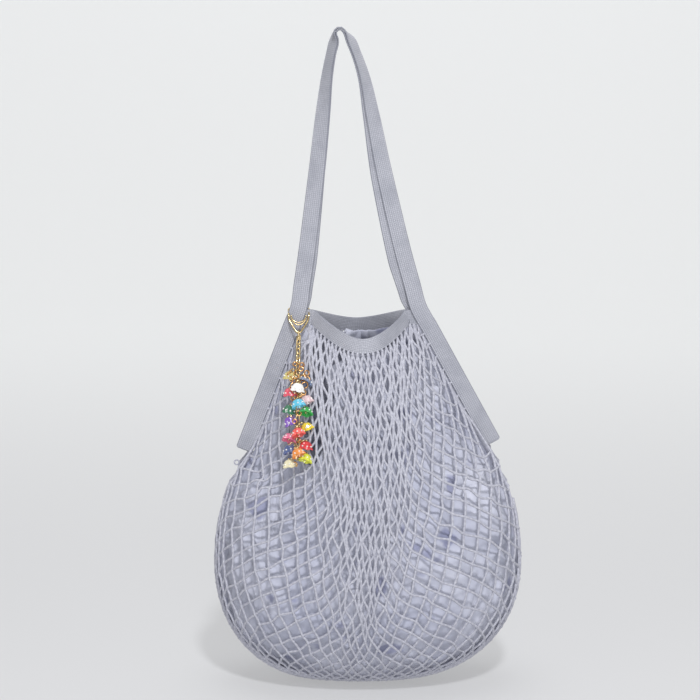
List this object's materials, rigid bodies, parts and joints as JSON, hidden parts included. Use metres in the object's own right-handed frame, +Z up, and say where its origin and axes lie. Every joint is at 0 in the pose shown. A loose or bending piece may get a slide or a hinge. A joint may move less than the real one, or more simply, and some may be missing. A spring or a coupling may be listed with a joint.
{
  "type": "string shopping bag",
  "caption": "Knitted net shopping bag with a doubled shoulder tape, gathered mouth bands, an inner cloth pouch and a gold bead drop.",
  "frame": {"origin": "inside of the fold at the top of the doubled shoulder strap, where the bag hangs", "axes": "+Z up along the hanging bag; +X to the right of the bag's front; the front with the bead drop faces -Y"},
  "size_m": [0.3267, 0.1879, 0.6923],
  "materials": {
    "knit_tape": "matt lavender grey cotton knit with fine lengthwise ribs",
    "net_yarn": "matt lavender grey cotton net yarn",
    "pouch_cloth": "smooth matt lavender grey cotton cloth, softly crumpled",
    "gold_plate": "polished gold plate",
    "bead_pale_yellow": "clear or pearly faceted glass",
    "bead_blue_grey": "clear or pearly faceted glass",
    "bead_white": "clear or pearly faceted glass",
    "bead_rose_red": "clear or pearly faceted glass",
    "bead_pale_pink": "clear or pearly faceted glass",
    "bead_light_blue": "clear or pearly faceted glass",
    "bead_dark_green": "clear or pearly faceted glass",
    "bead_green": "clear or pearly faceted glass",
    "bead_purple": "clear or pearly faceted glass",
    "bead_yellow": "clear or pearly faceted glass",
    "bead_coral": "clear or pearly faceted glass",
    "bead_pink": "clear or pearly faceted glass",
    "bead_red": "clear or pearly faceted glass",
    "bead_dark_blue": "clear or pearly faceted glass",
    "bead_lime": "clear or pearly faceted glass",
    "bead_orange": "clear or pearly faceted glass",
    "bead_cream": "clear or pearly faceted glass"
  },
  "bodies": {
    "root": {"handle_tape": "knit_tape", "mouth_band_front": "knit_tape", "mouth_band_back": "knit_tape", "net_body": "net_yarn", "inner_pouch": "pouch_cloth", "clasp_ring": "gold_plate", "charm_chain": "gold_plate", "bead_01": "bead_pale_yellow", "bead_02": "bead_blue_grey", "bead_03": "bead_white", "bead_04": "bead_rose_red", "bead_05": "bead_pale_pink", "bead_06": "bead_light_blue", "bead_07": "bead_dark_green", "bead_08": "bead_green", "bead_09": "bead_purple", "bead_10": "bead_yellow", "bead_11": "bead_coral", "bead_12": "bead_pink", "bead_13": "bead_red", "bead_14": "bead_dark_blue", "bead_15": "bead_lime", "bead_16": "bead_orange", "bead_17": "bead_cream"}
  },
  "joints": []
}
